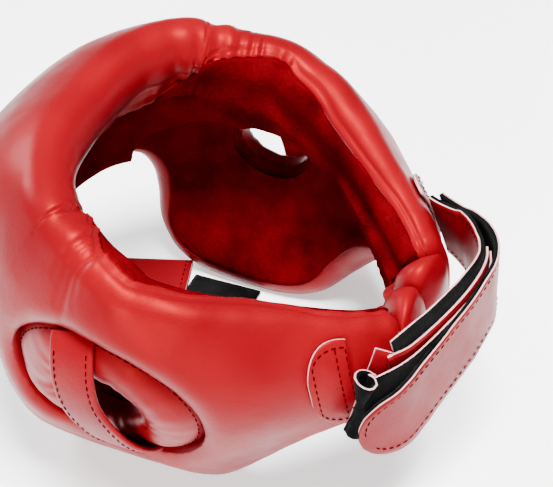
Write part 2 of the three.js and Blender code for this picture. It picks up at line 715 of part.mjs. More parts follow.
// The strap over an ear ring, bowed off it
function buildEarStrap(side, name) {
  const stations = EAR_STRAP_ROUTE.map((row) => {
    const y = EAR_BACK + row.along * EAR_LENGTH;
    const z = EAR_AXIS + EAR_UP + row.up * EAR_HEIGHT_SPAN;
    const x = wallAcross(side, y, z) + WALL / 2 - EAR_RECESS + 2 * GAP + LEATHER + row.bow * EAR_STRAP_BOW;
    return new THREE.Vector3(side * x, y, z);
  });
  const rings = stations.map((at, i) => {
    const before = stations[Math.max(i - 1, 0)];
    const ahead = stations[Math.min(i + 1, stations.length - 1)].clone().sub(before).normalize();
    const wide = new THREE.Vector3(0, 1, 0).addScaledVector(ahead, -ahead.y).normalize();
    const face = ahead.clone().cross(wide).normalize();
    return { at, tall: wide, face, half: EAR_STRAP_WIDTH / 2 };
  });
  addPiece(name, bandOf(rings, LEATHER * 2), leather, STRAP_ROUGH);
}

// The two parts of the chin strap lie on the surface and over each other
function buildChinStrap() {
  const hemInside = HALF_WIDTH * LOBE_ACROSS - WALL / 2;
  const lying = (from, to, level, name, color) => {
    const stations = [];
    for (let i = 0; i <= CHIN_STEPS; i += 1) {
      stations.push(from.clone().lerp(to, i / CHIN_STEPS).setZ(level));
    }
    const ahead = to.clone().sub(from).setZ(0).normalize();
    const wide = UP.clone().cross(ahead).normalize();
    const rings = stations.map((at) => ({ at, tall: wide, face: UP, half: CHIN_WIDTH / 2 }));
    addPiece(name, bandOf(rings, STRAP_STACK), color, CHIN_ROUGH);
  };
  const low = STRAP_STACK / 2;
  const high = low + STRAP_STACK + GAP;
  const lowFrom = new THREE.Vector3(-hemInside, CHIN_BACK * FRONT_REACH, 0);
  const lowTo = new THREE.Vector3(HALF_WIDTH * CHIN_LOW_END, CHIN_BACK * FRONT_REACH, 0);
  lying(lowFrom, lowTo, low, 'chin_strap_right', pile);
  const highFrom = new THREE.Vector3(hemInside, CHIN_START * FRONT_REACH, 0);
  const highTo = new THREE.Vector3(-HALF_WIDTH * CHIN_HIGH_END, CHIN_FRONT * FRONT_REACH, 0);
  lying(highFrom, highTo, high, 'chin_strap_left', leather);
}

buildShell();
buildLining();
buildEarRing(1, 'ear_ring_left');
buildEarRing(-1, 'ear_ring_right');
buildEarStrap(1, 'ear_strap_left');
buildEarStrap(-1, 'ear_strap_right');
buildGusset();
buildPatch(1, 'near_patch');
buildPatch(-1, 'far_patch');
buildClosure();
buildChinStrap();

const whole = new THREE.Box3().setFromObject(group);
const foot = whole.getCenter(new THREE.Vector3());
group.position.set(-foot.x, -foot.y, -whole.min.z);
group.updateMatrixWorld(true);

export default group;
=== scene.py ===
# %% [markdown]
# # A boxing headgear: from the CAD frame to a picture
# The solids of the part come in with the frame. Each soft solid is then replaced by a finer form: the glossy
# cover with its gathers, the suede lining, the padded ear rings, the folded gusset and the straps.
# All lengths below are in millimetres, and MM turns them to Blender's metres.

# %% Load the frame
import math

import bmesh
import bpy
import numpy as np
from mathutils import Matrix, Vector, noise


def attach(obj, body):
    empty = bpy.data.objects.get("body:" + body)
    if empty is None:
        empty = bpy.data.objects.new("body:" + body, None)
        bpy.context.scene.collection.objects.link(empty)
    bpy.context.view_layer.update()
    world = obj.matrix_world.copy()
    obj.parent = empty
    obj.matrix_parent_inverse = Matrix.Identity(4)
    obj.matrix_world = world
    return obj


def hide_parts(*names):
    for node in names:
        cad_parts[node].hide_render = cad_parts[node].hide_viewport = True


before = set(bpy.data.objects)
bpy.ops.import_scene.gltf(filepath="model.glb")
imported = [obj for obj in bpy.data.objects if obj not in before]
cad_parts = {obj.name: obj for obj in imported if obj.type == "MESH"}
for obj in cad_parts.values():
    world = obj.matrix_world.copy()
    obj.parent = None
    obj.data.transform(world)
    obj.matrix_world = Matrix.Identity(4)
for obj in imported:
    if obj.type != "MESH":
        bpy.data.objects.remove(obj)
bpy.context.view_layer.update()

MM = 0.001

# %% [markdown]
# ## The camera
# The photo looks down at the left side from a little behind. The camera is made first. It stands on a line
# given by an azimuth and an elevation, aims at a point inside the head hollow, and is rolled a little.

# %% Camera
PHOTO_WIDTH = 553
FOCAL_PIXELS = 1264.2
SENSOR = 36.0
AZIMUTH, ELEVATION, ROLL = (math.radians(a) for a in (28.3, 43.0, -6.5))
DISTANCE = 558.6
AIM = Vector((-0.7, 23.1, 90.5))

toward = Vector((math.cos(ELEVATION) * math.cos(AZIMUTH), math.cos(ELEVATION) * math.sin(AZIMUTH), math.sin(ELEVATION)))
level = Vector((-math.sin(AZIMUTH), math.cos(AZIMUTH), 0))
upright = toward.cross(level)
right = level * math.cos(ROLL) + upright * math.sin(ROLL)
above = upright * math.cos(ROLL) - level * math.sin(ROLL)
camera_data = bpy.data.cameras.new("camera")
camera_data.sensor_width = SENSOR
camera_data.sensor_fit = "HORIZONTAL"
camera_data.lens = FOCAL_PIXELS / PHOTO_WIDTH * SENSOR
camera = bpy.data.objects.new("camera", camera_data)
turned = Matrix((right, above, toward)).transposed().to_4x4()
camera.matrix_world = Matrix.Translation((AIM + toward * DISTANCE) * MM) @ turned
bpy.context.collection.objects.link(camera)
bpy.context.scene.camera = camera
print("lens", round(camera_data.lens, 1), "mm")

# %% [markdown]
# ## Colours and one small helper for nodes
# Colours are picked as sRGB hex values, as on a paint chart, and turned to linear light by one function.
# A material's nodes are all made by one helper, which adds a node, sets it and links its inputs.


# %% Colour and node helpers
def linear(hex_colour):
    """An sRGB hex value as linear RGBA."""
    parts = [int(hex_colour[i:i + 2], 16) / 255 for i in (0, 2, 4)]
    return tuple(c / 12.92 if c <= 0.04045 else ((c + 0.055) / 1.055) ** 2.4 for c in parts) + (1.0,)


def add(tree, kind, settings=None, **inputs):
    """Adds a node. A tuple (node, output) links, and anything else is the input's own value."""
    made = tree.nodes.new(kind)
    for key, value in (settings or {}).items():
        setattr(made, key, value)
    for key, value in inputs.items():
        socket = made.inputs[int(key[1:])] if key[0] == "i" and key[1:].isdigit() else made.inputs[key.replace("_", " ")]
        if isinstance(value, tuple) and len(value) == 2 and isinstance(value[0], bpy.types.Node):
            tree.links.new(value[0].outputs[value[1]], socket)
        else:
            socket.default_value = value
    return made


def start(name):
    """An empty material with a surface shader, and its tree, shader and object coordinates."""
    material = bpy.data.materials.new(name)
    material.use_nodes = True
    tree = material.node_tree
    tree.nodes.clear()
    shader = tree.nodes.new("ShaderNodeBsdfPrincipled")
    output = tree.nodes.new("ShaderNodeOutputMaterial")
    tree.links.new(shader.outputs[0], output.inputs[0])
    place = tree.nodes.new("ShaderNodeTexCoord")
    return material, tree, shader, place


# %% [markdown]
# ## The finishes
# The cover is synthetic leather: a polyurethane skin, calendered smooth and glossy over a woven back. Its
# grain is fine shallow cells of about a millimetre, and tension leaves faint creases. Its colour varies a
# little in broad random patches. The highlights stay broad, because the grain scatters them.

# %% Synthetic leather
GRAIN_SIZE = 1.1
CREASE_SIZE = 14.0


def leather_finish(name, base, deep, roughness, grain_depth):
    material, tree, shader, place = start(name)
    grain = add(tree, "ShaderNodeTexVoronoi", {"feature": "SMOOTH_F1"}, Vector=(place, "Object"), Scale=1 / (GRAIN_SIZE * MM))
    creases = add(tree, "ShaderNodeTexNoise", None, Vector=(place, "Object"), Scale=1 / (CREASE_SIZE * MM), Detail=5.0, Roughness=0.6)
    blotches = add(tree, "ShaderNodeTexNoise", None, Vector=(place, "Object"), Scale=1 / (4 * CREASE_SIZE * MM), Detail=2.0)
    tone = add(tree, "ShaderNodeMapRange", None, Value=(blotches, 0), i1=0.35, i2=0.65, i3=0.0, i4=1.0)
    colour = add(tree, "ShaderNodeMix", {"data_type": "RGBA"}, Factor=(tone, 0))
    colour.inputs[6].default_value = linear(deep)
    colour.inputs[7].default_value = linear(base)
    tree.links.new(colour.outputs[2], shader.inputs["Base Color"])
    rough = add(tree, "ShaderNodeMapRange", None, Value=(creases, 0), i1=0.3, i2=0.7, i3=roughness - 0.05, i4=roughness + 0.07)
    tree.links.new(rough.outputs[0], shader.inputs["Roughness"])
    fine = add(tree, "ShaderNodeBump", None, Strength=0.35, Distance=grain_depth * MM, Height=(grain, 0))
    broad = add(tree, "ShaderNodeBump", None, Strength=0.5, Distance=0.5 * MM, Height=(creases, 0), Normal=(fine, 0))
    tree.links.new(broad.outputs[0], shader.inputs["Normal"])
    shader.inputs["IOR"].default_value = 1.4
    shader.inputs["Specular IOR Level"].default_value = 0.5
    shader.inputs["Specular Tint"].default_value = linear("FF3C38")
    return material


cover_leather = leather_finish("polyurethane_leather_glossy_red", "66000A", "580008", 0.40, 0.08)
strap_leather = leather_finish("polyurethane_leather_strap_red", "62000A", "540008", 0.44, 0.10)
print("leathers:", cover_leather.name, strap_leather.name)

# %% [markdown]
# The lining is suede-like brushed polyester. Short fibres stand up from it, so it has no highlight, and
# brushing leaves soft darker and lighter patches.
# The hook and loop tapes are black nylon pile, and the cut edges of the straps show the pale woven back.

# %% Suede, pile, cut edge and thread
NAP_SIZE = 1.6
PILE_SIZE = 1.3


def fibre_finish(name, base, deep, fibre_size, depth, sheen, sheen_colour):
    material, tree, shader, place = start(name)
    nap = add(tree, "ShaderNodeTexNoise", None, Vector=(place, "Object"), Scale=1 / (fibre_size * MM), Detail=4.0, Roughness=0.7)
    brushed = add(tree, "ShaderNodeTexNoise", None, Vector=(place, "Object"), Scale=1 / (12 * fibre_size * MM), Detail=3.0)
    both = add(tree, "ShaderNodeMath", {"operation": "MULTIPLY_ADD"}, i0=(nap, 0), i1=0.45, i2=(brushed, 0))
    tone = add(tree, "ShaderNodeMapRange", None, Value=(both, 0), i1=0.5, i2=0.95, i3=0.0, i4=1.0)
    colour = add(tree, "ShaderNodeMix", {"data_type": "RGBA"}, Factor=(tone, 0))
    colour.inputs[6].default_value = linear(deep)
    colour.inputs[7].default_value = linear(base)
    tree.links.new(colour.outputs[2], shader.inputs["Base Color"])
    bump = add(tree, "ShaderNodeBump", None, Strength=0.8, Distance=depth * MM, Height=(nap, 0))
    tree.links.new(bump.outputs[0], shader.inputs["Normal"])
    shader.inputs["Roughness"].default_value = 0.95
    shader.inputs["Specular IOR Level"].default_value = 0.0
    shader.inputs["Sheen Weight"].default_value = sheen
    shader.inputs["Sheen Roughness"].default_value = 0.4
    shader.inputs["Sheen Tint"].default_value = linear(sheen_colour)
    return material


suede = fibre_finish("brushed_polyester_suede_red", "520006", "2C0003", NAP_SIZE, 0.5, 0.0, "C02028")
pile = fibre_finish("nylon_pile_black", "101010", "020202", PILE_SIZE, 0.9, 0.2, "606060")
cut_edge = fibre_finish("woven_back_cut_edge", "C89A9A", "B08080", 0.8, 0.2, 0.0, "FFFFFF")
thread = fibre_finish("polyester_thread_dark_red", "300102", "240001", 0.5, 0.1, 0.0, "FFFFFF")
print("fibres:", suede.name, pile.name, cut_edge.name, thread.name)

# %% [markdown]
# ## The padded wall as a surface
# The padded wall is one long pad bent round the head. It is described by lines from the hem up to the crown
# rim, sixteen on each side, as in the solids. A smooth curve runs through them, so any place on the wall is
# found from two numbers: turn, from -1 at the right rear end to 1 at the left one, and rise, from the hem up.

# %% Sizes and lines of the wall
HALF_WIDTH, FRONT_REACH, REAR_REACH = 88.0, 100.0, 98.0
CROWN_RISE, LOBE_DROP, WALL = 74.0, 63.0, 24.0
INNER_ROLL, INNER_SHARE, CLOSURE_SHIFT = 13.5, 0.8, 5.0
EAR_AXIS = 73.0
FOOT_BACK = 7.96
LINING_THICK = 1.6
HEM_SEAM = math.radians(150)
NEAR_SEAM = math.radians(24)

# across, along and up for the hem, the middle and the rim; thick; where the inner roll starts; the seam's
# angle; and how far the cover tucks down inside, as a share of the line
WALL_LINES = np.array([
    [0.00, -1.00, 0.24, 0.00, -0.91, 0.72, 0.00, -0.57, 1.00, 1.08, -0.20, 180, 0.17],
    [0.34, -0.95, 0.23, 0.34, -0.86, 0.72, 0.32, -0.55, 1.00, 1.08, -0.20, 180, 0.17],
    [0.57, -0.83, 0.20, 0.59, -0.74, 0.69, 0.53, -0.48, 0.98, 1.05, -0.10, 180, 0.13],
    [0.73, -0.70, 0.11, 0.77, -0.58, 0.57, 0.68, -0.38, 0.95, 1.00, 0.25, 165, 0.03],
    [0.81, -0.63, -0.13, 0.88, -0.48, 0.42, 0.76, -0.28, 0.90, 0.97, 0.50, 135, 0.00],
    [0.82, -0.61, -0.45, 0.95, -0.40, 0.24, 0.82, -0.19, 0.84, 0.97, 0.64, 120, 0.00],
    [0.77, -0.59, -0.77, 0.99, -0.31, 0.09, 0.86, -0.11, 0.79, 0.97, 0.67, 110, 0.00],
    [0.71, -0.47, -0.94, 1.00, -0.20, 0.03, 0.89, -0.04, 0.76, 1.00, 0.69, 105, 0.00],
    [0.68, -0.23, -1.00, 1.00, -0.07, -0.02, 0.91, 0.01, 0.73, 1.00, 0.70, 105, 0.00],
    [0.67, 0.02, -1.00, 1.00, 0.06, -0.05, 0.92, 0.07, 0.69, 1.00, 0.70, 105, 0.00],
    [0.69, 0.20, -0.92, 1.00, 0.20, -0.04, 0.90, 0.15, 0.64, 1.00, 0.70, 105, 0.00],
    [0.73, 0.35, -0.69, 0.95, 0.36, 0.00, 0.85, 0.28, 0.57, 1.00, 0.60, 105, 0.00],
    [0.71, 0.53, -0.41, 0.85, 0.53, 0.08, 0.75, 0.43, 0.48, 0.96, 0.46, 105, 0.00],
    [0.61, 0.73, -0.24, 0.66, 0.70, 0.12, 0.59, 0.63, 0.38, 0.82, 0.22, 105, 0.00],
    [0.45, 0.89, -0.18, 0.47, 0.86, 0.08, 0.42, 0.82, 0.28, 0.74, -0.10, 100, 0.00],
    [0.25, 1.00, -0.16, 0.27, 1.00, 0.04, 0.25, 0.97, 0.18, 0.70, -0.20, 95, 0.00],
])


def through(values, share):
    """A smooth curve through evenly spaced rows."""
    place = min(max(share, 0.0), 1.0) * (len(values) - 1)
    i = min(int(place), len(values) - 2)
    f = place - i
    b, c = values[i], values[i + 1]
    a = values[i - 1] if i > 0 else 2 * b - c
    d = values[i + 2] if i + 2 < len(values) else 2 * c - b
    return (b * (2 * f ** 3 - 3 * f ** 2 + 1) + (c - a) / 2 * (f ** 3 - 2 * f ** 2 + f)
            + c * (3 * f ** 2 - 2 * f ** 3) + (d - b) / 2 * (f ** 3 - f ** 2))


def in_place(row, side):
    """One table row in millimetres, for one side."""
    made = row.copy()
    for k in (0, 3, 6):
        across, along, up = row[k:k + 3]
        made[k] = side * across * HALF_WIDTH
        made[k + 1] = along * (FRONT_REACH if along < 0 else REAR_REACH)
        made[k + 2] = EAR_AXIS + up * (LOBE_DROP if up < 0 else CROWN_RISE)
    made[9] = row[9] * WALL / 2
    made[11] = math.radians(row[11])
    return made


BOTH_SIDES = np.array([in_place(r, -1) for r in WALL_LINES[:0:-1]] + [in_place(r, 1) for r in WALL_LINES])


def smoothstep(x, low, high):
    t = np.clip((np.asarray(x, float) - low) / (high - low), 0, 1)
    return t * t * (3 - 2 * t)


def wall_line(turn):
    row = through(BOTH_SIDES, (turn + 1) / 2)
    points = row[:9].reshape(3, 3).copy()
    points[:, 0] += CLOSURE_SHIFT * smoothstep(points[:, 1], REAR_REACH * 0.4, REAR_REACH)
    points[:, 1] -= FOOT_BACK
    near = smoothstep(turn, 0.30, 0.42) * (1 - smoothstep(turn, 0.90, 0.99))
    seam = row[11] - NEAR_SEAM * float(near)
    return {"points": points, "half": row[9], "fold": row[10], "seam": seam, "tuck": max(row[12], 0.0)}


def middle(line, rise):
    rise = np.atleast_1d(np.asarray(rise, float))[:, None]
    hem, mid, rim = line["points"]
    return hem * (1 - rise) * (1 - 2 * rise) + mid * 4 * rise * (1 - rise) + rim * rise * (2 * rise - 1)


def unit(v):
    return v / np.linalg.norm(v, axis=-1, keepdims=True)


def wall_frame(turn, rise, line=None):
    """Points, outward directions and directions towards the rim, for one turn and many rises."""
    line = line or wall_line(turn)
    rise = np.atleast_1d(np.asarray(rise, float))
    around = unit(middle(wall_line(min(turn + 0.01, 1)), rise) - middle(wall_line(max(turn - 0.01, -1)), rise))
    climb = unit(middle(line, rise + 0.02) - middle(line, rise - 0.02))
    outward = unit(np.cross(around, climb))
    return middle(line, rise), outward, np.cross(outward, around)


print("wall lines on both sides:", len(BOTH_SIDES))

# %% [markdown]
# A pad's cross-section is a thick line with round ends. Outside, the cover runs from the hem seam over the
# outer face, round the rim and down to the rim seam inside. From there the lining runs down the inner face,
# over the fold under the rolled rim, and back to the hem seam.


# %% The two halves of the section
FOLD_SPREAD = 0.035


def inner_half(line, rise):
    rolled = smoothstep(rise, line["fold"] - FOLD_SPREAD, line["fold"] + FOLD_SPREAD)
    eased = 1 - 0.6 * smoothstep(rise, 0.85, 1)
    return line["half"] * INNER_SHARE + INNER_ROLL * rolled * eased


def rounded_edge(turn, line, rim, angles, inset):
    """The round edge at the rim or hem: angle 0 is the outer face, PI the inner one."""
    rise = 1.0 if rim else 0.0
    point, outward, edge = (a[0] for a in wall_frame(turn, rise, line))
    face = np.where(np.cos(angles) > 0, line["half"], inner_half(line, rise)) - inset
    over = (1 if rim else -1) * (line["half"] - inset) * np.sin(angles)
    return point + edge * over[:, None] + outward * (face * np.cos(angles))[:, None]


def covered_side(turn):
    line = wall_line(turn)
    rises = np.linspace(0, 1, 40)
    point, outward, _ = wall_frame(turn, rises, line)
    lower = rounded_edge(turn, line, False, np.linspace(HEM_SEAM, 0, 14), 0)
    upper = rounded_edge(turn, line, True, np.linspace(0, line["seam"], 22), 0)
    tucked = np.linspace(1, 1 - line["tuck"], 8)[1:]
    point_in, outward_in, _ = wall_frame(turn, tucked, line)
    inside = point_in - outward_in * inner_half(line, tucked)[:, None]
    parts = [lower[:-1], point + outward * line["half"], upper[1:]]
    if line["tuck"] > 0.005:
        parts.append(inside)
    return np.concatenate(parts)


def lined_side(turn, inset):
    line = wall_line(turn)
    top = 1 - line["tuck"]
    rises = np.linspace(top, 0, 70)
    point, outward, _ = wall_frame(turn, rises, line)
    inside = point - outward * (inner_half(line, rises) - inset)[:, None]
    parts = [inside, rounded_edge(turn, line, False, np.linspace(math.pi, HEM_SEAM, 5)[1:], inset)]
    if line["tuck"] <= 0.005:
        parts.insert(0, rounded_edge(turn, line, True, np.linspace(line["seam"], math.pi, 12)[:-1], inset))
    return np.concatenate(parts)


def even(points, count):
    """The same line with evenly spaced points."""
    steps = np.linalg.norm(np.diff(points, axis=0), axis=1)
    reach = np.concatenate([[0], np.cumsum(steps)])
    wanted = np.linspace(0, reach[-1], count)
    return np.stack([np.interp(wanted, reach, points[:, k]) for k in range(3)], 1), reach[-1]


print("section at the ear: cover", round(even(covered_side(0.3), 5)[1]), "mm, lining", round(even(lined_side(0.3, 0), 5)[1]), "mm")

# %% [markdown]
# ## From a grid to a piece
# A sheet is modelled by making a flat grid with the right number of cells and moving each of its points to
# its place. The same grid can be closed into a tube by merging the points that meet.


# %% Grid helpers
def finish_piece(bm, name, materials, smooth=True):
    mesh = bpy.data.meshes.new(name)
    bm.to_mesh(mesh)
    bm.free()
    piece = bpy.data.objects.new(name, mesh)
    bpy.context.collection.objects.link(piece)
    for material in materials:
        mesh.materials.append(material)
    for face in mesh.polygons:
        face.use_smooth = smooth
    return piece


def grid_onto(bm, places, material=0):
    """Adds a grid with one point for each entry of an array of places in millimetres."""
    columns, rows = places.shape[:2]
    made = bmesh.ops.create_grid(bm, x_segments=columns - 1, y_segments=rows - 1, size=1.0)
    for v in made["verts"]:
        i = round((v.co.x + 1) / 2 * (columns - 1))
        j = round((v.co.y + 1) / 2 * (rows - 1))
        v.co = Vector(places[i, j]) * MM
    for face in {f for v in made["verts"] for f in v.link_faces}:
        face.material_index = material
    return made["verts"]


def normals_of(places):
    """Outward directions of a grid of points, from its neighbours."""
    return unit(np.cross(np.gradient(places, axis=0), np.gradient(places, axis=1)))


def apply_modifiers(piece):
    graph = bpy.context.evaluated_depsgraph_get()
    graph.update()
    done = bpy.data.meshes.new_from_object(piece.evaluated_get(graph))
    piece.modifiers.clear()
    piece.data = done
    return piece


def subdivided(piece, levels=1):
    modifier = piece.modifiers.new("smooth", "SUBSURF")
    modifier.levels = levels
    modifier.render_levels = levels
    return piece


def lumps(places, size, depth, seed):
    """Soft unevenness of a real pad, always the same for the same seed."""
    shape = places.shape[:2]
    flat = [noise.noise(Vector(p) / size + Vector((seed, 0, 0))) for p in places.reshape(-1, 3)]
    return depth * np.array(flat).reshape(shape)


# %% [markdown]
# ## Gathers, dimples and creases of the cover
# The cover is pulled round the rim and sewn down inside, so its spare length gathers at the seam where the
# rim bends. Short pleats start at the seam and fade on the roll. A few broad dimples sit in the front roll.
# They are placed one by one from the photo, each by its turn and its distance from the rim seam.

# %% The cover's relief
# turn, distance from the seam, half width along the wall, half width across it, depth; all but turn in mm
DIMPLES = [
    (0.13, 13, 9, 9, 2.6),
    (0.25, 14, 8, 10, 2.2),
    (0.02, 12, 7, 8, 1.4),
    (-0.10, 11, 6, 8, 1.2),
    (0.47, 60, 16, 22, 1.2),
]
# turn, reach from the seam, half width, depth, slant in turn over the reach
PLEATS = [
    (-0.340, 34, 4.2, 1.6, 0.004), (-0.278, 44, 4.6, 3.0, 0.010), (-0.226, 36, 3.4, 2.2, 0.004),
    (-0.172, 42, 4.4, 2.6, 0.010),
    (-0.120, 16, 1.6, 0.9, 0.000), (-0.060, 14, 1.8, 0.9, 0.000), (0.000, 15, 1.8, 1.0, 0.000),
    (0.050, 16, 2.0, 1.2, 0.002), (0.100, 18, 2.2, 1.4, 0.002), (0.155, 17, 2.2, 1.4, -0.002),
    (0.200, 18, 2.4, 1.6, -0.003), (0.245, 20, 2.4, 1.7, -0.003), (0.290, 16, 2.2, 1.4, 0.002),
    (0.335, 34, 2.4, 1.4, 0.010), (0.360, 40, 2.4, 1.6, 0.014), (0.385, 42, 2.6, 1.6, 0.016),
    (0.410, 30, 2.2, 1.2, 0.014), (-0.380, 22, 2.4, 1.1, 0.000), (-0.430, 16, 2.2, 0.8, 0.000),
    (0.935, 18, 3.2, 0.8, 0.000), (0.970, 22, 3.0, 1.3, 0.000),
    (-0.935, 20, 3.4, 0.8, 0.000), (-0.970, 24, 3.0, 1.2, 0.000),
]
SEAM_STRIP = 4.0
RIM_LENGTH = 205.0


def relief(turns, depth_in):
    """How far the cover moves in or out. depth_in is each point's distance from the rim seam."""
    moved = np.zeros_like(depth_in)
    turn_at = turns[:, None]
    for turn, reach, wide, tall, depth in DIMPLES:
        moved -= depth * np.exp(-(((turn_at - turn) * RIM_LENGTH / wide) ** 2 + ((depth_in - reach) / tall) ** 2))
    for turn, reach, wide, depth, slant in PLEATS:
        fade = np.clip(1 - depth_in / reach, 0, 1)
        centre = turn + slant * depth_in / reach
        moved -= depth * fade ** 0.8 * np.exp(-((turn_at - centre) * RIM_LENGTH / wide) ** 2)
        moved += 0.35 * depth * fade * np.exp(-(((turn_at - centre) * RIM_LENGTH / wide) - 2.2) ** 2)
    moved -= 1.1 * np.exp(-((depth_in - SEAM_STRIP) / 0.9) ** 2)
    ripple = np.sin(turn_at * 95 + 1.3 * np.sin(turn_at * 23)) * np.exp(-depth_in / 4.0)
    return moved + 0.16 * ripple


print("dimples:", len(DIMPLES), " pleats:", len(PLEATS))

# %% [markdown]
# ## Ear openings
# Each ear has an oval opening, tilted so that its rear end lies lower. The pad's surface rolls in towards
# the opening's edge, because the cover is pulled through and sewn inside.

# %% The oval
EAR_LENGTH, EAR_HEIGHT = 92.0, 72.0
EAR_TILT = math.radians(-12)
EAR_CENTRE = np.array([-8.0 - FOOT_BACK, EAR_AXIS + 2.0])
EAR_LIP = 11.0


def on_oval(half_length, half_height, angle):
    u, v = half_length * np.cos(angle), half_height * np.sin(angle)
    return np.array([EAR_CENTRE[0] + u * math.cos(EAR_TILT) - v * math.sin(EAR_TILT),
                     EAR_CENTRE[1] + u * math.sin(EAR_TILT) + v * math.cos(EAR_TILT)])


def from_oval(places):
    """Distance outside the opening's edge, seen from the side. It is negative inside."""
    y, z = places[..., 1] - EAR_CENTRE[0], places[..., 2] - EAR_CENTRE[1]
    u = y * math.cos(EAR_TILT) + z * math.sin(EAR_TILT)
    v = -y * math.sin(EAR_TILT) + z * math.cos(EAR_TILT)
    share = np.sqrt((u / (EAR_LENGTH / 2)) ** 2 + (v / (EAR_HEIGHT / 2)) ** 2)
    reach = np.hypot(u, v) / np.maximum(share, 1e-6)
    return (share - 1) * reach


def oval_cutter(side, half_length, half_height):
    bm = bmesh.new()
    made = bmesh.ops.create_circle(bm, cap_ends=True, segments=96, radius=1.0)
    for v in made["verts"]:
        y, z = on_oval(half_length, half_height, math.atan2(v.co.y, v.co.x))
        v.co = Vector((side * 40.0, y, z)) * MM
    grown = bmesh.ops.extrude_face_region(bm, geom=bm.faces[:])
    bmesh.ops.translate(bm, vec=(side * 110 * MM, 0, 0), verts=[g for g in grown["geom"] if isinstance(g, bmesh.types.BMVert)])
    bmesh.ops.recalc_face_normals(bm, faces=bm.faces)
    return finish_piece(bm, f"cutter_{side}", [])


def cut_ovals(piece, half_length, half_height):
    cutters = [oval_cutter(side, half_length, half_height) for side in (-1, 1)]
    for cutter in cutters:
        modifier = piece.modifiers.new("ear", "BOOLEAN")
        modifier.operation = "DIFFERENCE"
        modifier.solver = "EXACT"
        modifier.object = cutter
    apply_modifiers(piece)
    for cutter in cutters:
        bpy.data.objects.remove(cutter)
    return piece


# %% [markdown]
# ## The cover
# The cover and its foam make one closed tube that runs round the head. Its section is the covered side
# followed by the hidden back under the lining, and both ends are drawn together where the gusset starts.

# %% Build the cover
COLUMNS, COVER_ROWS, BACK_ROWS = 300, 112, 26
cover_turns = np.linspace(-1, 1, COLUMNS)
cover = np.zeros((COLUMNS, COVER_ROWS, 3))
seam_distance = np.zeros((COLUMNS, COVER_ROWS))
back = np.zeros((COLUMNS, BACK_ROWS, 3))
for c, turn in enumerate(cover_turns):
    cover[c], length = even(covered_side(turn), COVER_ROWS)
    seam_distance[c] = length * (1 - np.linspace(0, 1, COVER_ROWS))
    back[c], _ = even(lined_side(turn, LINING_THICK + 0.4), BACK_ROWS)
outward = normals_of(cover)
if np.mean(outward[:, 40, 0] * np.sign(cover[:, 40, 0])) < 0:
    outward = -outward
near_ear = from_oval(cover)
lip = 1 - np.sqrt(np.clip(1 - (1 - np.clip(near_ear, 0, EAR_LIP) / EAR_LIP) ** 2, 0, 1))
on_side = smoothstep(np.abs(cover[..., 0]), 60, 72)
hem_distance = length - seam_distance
shift = relief(cover_turns, seam_distance) + lumps(cover, 34, 0.9, 3.0) + lumps(cover, 11, 0.25, 7.0)
shift -= 9.0 * lip * on_side * (near_ear < EAR_LIP) * smoothstep(seam_distance, 20, 40)
cover = cover + outward * shift[..., None]
cover[..., 2] = np.maximum(cover[..., 2], 0.05)
back[..., 2] = np.maximum(back[..., 2], 0.4)
section = np.concatenate([cover, back, cover[:, :1]], axis=1)
for c, share in ((0, 0.80), (1, 0.93), (COLUMNS - 2, 0.93), (COLUMNS - 1, 0.80)):
    centre = section[c, :-1].mean(axis=0)
    section[c] = centre + (section[c] - centre) * share

bm = bmesh.new()
grid_onto(bm, section)
bmesh.ops.remove_doubles(bm, verts=bm.verts, dist=0.01 * MM)
bmesh.ops.holes_fill(bm, edges=[e for e in bm.edges if e.is_boundary], sides=0)
bmesh.ops.recalc_face_normals(bm, faces=bm.faces)
shell_piece = finish_piece(bm, "cover_and_foam", [cover_leather])
cut_ovals(shell_piece, EAR_LENGTH / 2, EAR_HEIGHT / 2)
for face in shell_piece.data.polygons:
    face.use_smooth = True
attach(shell_piece, "root")
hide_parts("padded_shell")
print("cover faces:", len(shell_piece.data.polygons))

# %% [markdown]
# ## The lining
# The suede is a thin skin over the whole inner face. It is modelled as one sheet that is given its
# thickness towards the foam, with soft pulls in it, and a hole for each ear ring.

# %% Build the lining
LINING_ROWS = 84
lining_turns = np.linspace(-0.997, 0.997, 240)
inner = np.array([even(lined_side(turn, 0.0), LINING_ROWS)[0] for turn in lining_turns])
run_down = max(even(lined_side(turn, 0.0), LINING_ROWS)[1] for turn in lining_turns)
inward = normals_of(inner)
if np.mean(inward[:, 40, 0] * np.sign(inner[:, 40, 0])) > 0:
    inward = -inward
pulls = lumps(inner, 26, 1.0, 11.0) + lumps(inner, 9, 0.35, 15.0)
edge_fade = smoothstep(np.linspace(0, 1, LINING_ROWS), 0, 0.08) * smoothstep(np.linspace(1, 0, LINING_ROWS), 0, 0.05)
inner = inner + inward * (pulls * edge_fade)[..., None]
inner[..., 2] = np.maximum(inner[..., 2], 0.5)
bm = bmesh.new()
grid_onto(bm, inner)
bmesh.ops.recalc_face_normals(bm, faces=bm.faces)
outer_sum = sum((f.normal.x * f.calc_center_median().x) for f in bm.faces)
if outer_sum > 0:
    bmesh.ops.reverse_faces(bm, faces=bm.faces)
lining_piece = finish_piece(bm, "suede_lining", [suede])
thick = lining_piece.modifiers.new("thickness", "SOLIDIFY")
thick.thickness = (LINING_THICK - 0.2) * MM
thick.offset = -1
apply_modifiers(lining_piece)
RING_ENDS, RING_SIDES = 28.0, 23.0
cut_ovals(lining_piece, EAR_LENGTH / 2 - RING_ENDS + 3, EAR_HEIGHT / 2 - RING_SIDES + 3)
for face in lining_piece.data.polygons:
    face.use_smooth = True
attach(lining_piece, "root")
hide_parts("lining")

